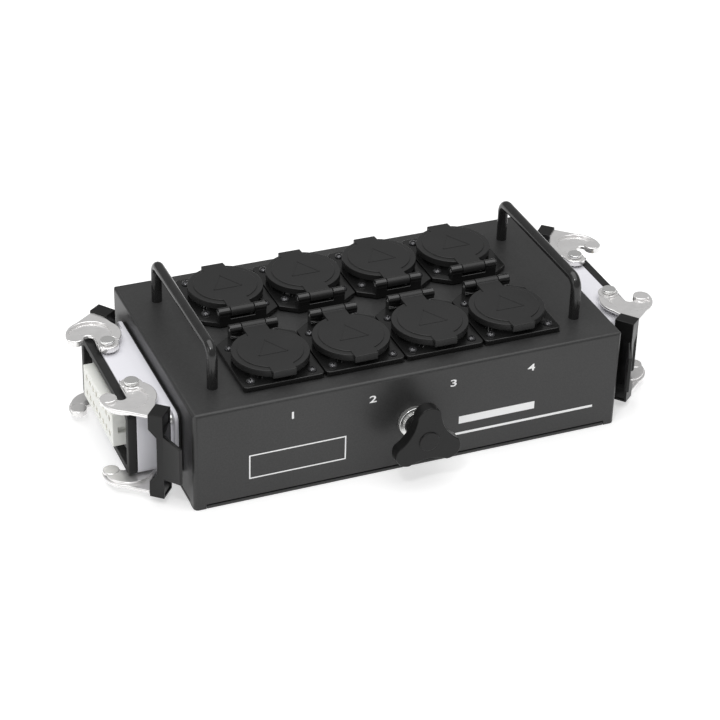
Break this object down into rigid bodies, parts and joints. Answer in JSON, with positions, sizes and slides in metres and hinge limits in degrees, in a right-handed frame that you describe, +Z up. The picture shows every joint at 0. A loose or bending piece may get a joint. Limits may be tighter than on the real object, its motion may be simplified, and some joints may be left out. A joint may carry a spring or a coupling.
{
  "type": "portable power distribution box",
  "caption": "Low black steel box with lidded earthed sockets in two rows on top, a lever-locked multi-pole connector on each end, two rod handles and a clamp knob on the front.",
  "frame": {"origin": "centre of the enclosure's underside, on the surface it rests on", "axes": "+X along the length towards the right-hand connector, +Y to the back, -Y is the front wall with the clamp knob, +Z up"},
  "size_m": [0.3576, 0.1833, 0.0952],
  "materials": {
    "powder_coat": "black satin powder coat, fine grain",
    "handle_paint": "gloss black paint on round steel rod",
    "socket_plastic": "black glass-filled plastic, semi-gloss",
    "lid_plastic": "black plastic, fine satin grain",
    "rubber_black": "black seal rubber",
    "zinc_steel": "bright zinc-plated steel",
    "black_screw": "blackened steel screw",
    "contact_brass": "spring brass",
    "housing_grey": "light grey moulded plastic, satin",
    "insert_grey": "pale grey-green moulded plastic",
    "lever_steel": "pressed stainless steel, polished",
    "grip_plastic": "black plastic",
    "knob_plastic": "black phenolic plastic",
    "wire": "insulated cable bundle"
  },
  "bodies": {
    "base": {"enclosure_shell": "powder_coat", "base_plate": "powder_coat", "base_plate_screws": "black_screw", "handle_left": "handle_paint", "handle_right": "handle_paint", "handle_screws": "zinc_steel", "socket_body_1": "socket_plastic", "socket_body_2": "socket_plastic", "socket_body_3": "socket_plastic", "socket_body_4": "socket_plastic", "socket_body_5": "socket_plastic", "socket_body_6": "socket_plastic", "socket_body_7": "socket_plastic", "socket_body_8": "socket_plastic", "hinge_pins": "zinc_steel", "lid_springs": "zinc_steel", "socket_gaskets": "rubber_black", "socket_screws": "black_screw", "socket_nuts": "zinc_steel", "earth_clips": "contact_brass", "socket_contacts": "contact_brass", "connector_housing_left": "housing_grey", "connector_housing_right": "housing_grey", "flange_gaskets": "rubber_black", "rim_gaskets": "rubber_black", "housing_screws": "zinc_steel", "insert_left": "insert_grey", "insert_right": "insert_grey", "insert_contacts": "contact_brass", "insert_screws": "zinc_steel", "lever_pivot_pins": "zinc_steel", "clamp_bush": "zinc_steel", "wiring_loom": "wire"},
    "lid_1_body": {"lid_1": "lid_plastic", "lid_seal_1": "rubber_black"},
    "lid_2_body": {"lid_2": "lid_plastic", "lid_seal_2": "rubber_black"},
    "lid_3_body": {"lid_3": "lid_plastic", "lid_seal_3": "rubber_black"},
    "lid_4_body": {"lid_4": "lid_plastic", "lid_seal_4": "rubber_black"},
    "lid_5_body": {"lid_5": "lid_plastic", "lid_seal_5": "rubber_black"},
    "lid_6_body": {"lid_6": "lid_plastic", "lid_seal_6": "rubber_black"},
    "lid_7_body": {"lid_7": "lid_plastic", "lid_seal_7": "rubber_black"},
    "lid_8_body": {"lid_8": "lid_plastic", "lid_seal_8": "rubber_black"},
    "lever_left_front": {"lever_arms_left_front": "lever_steel", "lever_grip_left_front": "grip_plastic"},
    "lever_left_rear": {"lever_arms_left_rear": "lever_steel", "lever_grip_left_rear": "grip_plastic"},
    "lever_right_front": {"lever_arms_right_front": "lever_steel", "lever_grip_right_front": "grip_plastic"},
    "lever_right_rear": {"lever_arms_right_rear": "lever_steel", "lever_grip_right_rear": "grip_plastic"},
    "clamp_washer_body": {"clamp_washer": "zinc_steel"},
    "clamp_knob_body": {"clamp_stud": "zinc_steel", "clamp_knob": "knob_plastic"}
  },
  "joints": [
    {"name": "lid_1_hinge", "type": "hinge", "parent": "base", "child": "lid_1_body", "pos_m": [-0.0762, -0.01, 0.075], "axis": [-1, 0, 0], "range_deg": [0, 95], "stiffness_Nm_per_rad": 0.002, "springref_deg": -28.65},
    {"name": "lid_2_hinge", "type": "hinge", "parent": "base", "child": "lid_2_body", "pos_m": [-0.0254, -0.01, 0.075], "axis": [-1, 0, 0], "range_deg": [0, 95], "stiffness_Nm_per_rad": 0.002, "springref_deg": -28.65},
    {"name": "lid_3_hinge", "type": "hinge", "parent": "base", "child": "lid_3_body", "pos_m": [0.0254, -0.01, 0.075], "axis": [-1, 0, 0], "range_deg": [0, 95], "stiffness_Nm_per_rad": 0.002, "springref_deg": -28.65},
    {"name": "lid_4_hinge", "type": "hinge", "parent": "base", "child": "lid_4_body", "pos_m": [0.0762, -0.01, 0.075], "axis": [-1, 0, 0], "range_deg": [0, 95], "stiffness_Nm_per_rad": 0.002, "springref_deg": -28.65},
    {"name": "lid_5_hinge", "type": "hinge", "parent": "base", "child": "lid_5_body", "pos_m": [-0.0762, 0.01, 0.075], "axis": [1, 0, 0], "range_deg": [0, 95], "stiffness_Nm_per_rad": 0.002, "springref_deg": -28.65},
    {"name": "lid_6_hinge", "type": "hinge", "parent": "base", "child": "lid_6_body", "pos_m": [-0.0254, 0.01, 0.075], "axis": [1, 0, 0], "range_deg": [0, 95], "stiffness_Nm_per_rad": 0.002, "springref_deg": -28.65},
    {"name": "lid_7_hinge", "type": "hinge", "parent": "base", "child": "lid_7_body", "pos_m": [0.0254, 0.01, 0.075], "axis": [1, 0, 0], "range_deg": [0, 95], "stiffness_Nm_per_rad": 0.002, "springref_deg": -28.65},
    {"name": "lid_8_hinge", "type": "hinge", "parent": "base", "child": "lid_8_body", "pos_m": [0.0762, 0.01, 0.075], "axis": [1, 0, 0], "range_deg": [0, 95], "stiffness_Nm_per_rad": 0.002, "springref_deg": -28.65},
    {"name": "lever_left_front_pivot", "type": "hinge", "parent": "base", "child": "lever_left_front", "pos_m": [-0.156, -0.0228, 0.0325], "axis": [0, 0, -1], "range_deg": [0, 50]},
    {"name": "lever_left_rear_pivot", "type": "hinge", "parent": "base", "child": "lever_left_rear", "pos_m": [-0.156, 0.0248, 0.0325], "axis": [0, 0, 1], "range_deg": [0, 53]},
    {"name": "lever_right_front_pivot", "type": "hinge", "parent": "base", "child": "lever_right_front", "pos_m": [0.156, -0.0228, 0.0325], "axis": [0, 0, 1], "range_deg": [0, 50]},
    {"name": "lever_right_rear_pivot", "type": "hinge", "parent": "base", "child": "lever_right_rear", "pos_m": [0.156, 0.0248, 0.0325], "axis": [0, 0, -1], "range_deg": [0, 47]},
    {"name": "clamp_travel", "type": "slide", "parent": "base", "child": "clamp_washer_body", "axis": [0, -1, 0], "range_m": [0, 0.01]},
    {"name": "clamp_turn", "type": "hinge", "parent": "clamp_washer_body", "child": "clamp_knob_body", "pos_m": [0, -0.078, 0.033], "axis": [0, -1, 0], "range_deg": [0, 2881]}
  ],
  "couplings": [
    {"joint": "clamp_turn", "follows": "clamp_travel", "rad_per_m": 5026.5}
  ]
}
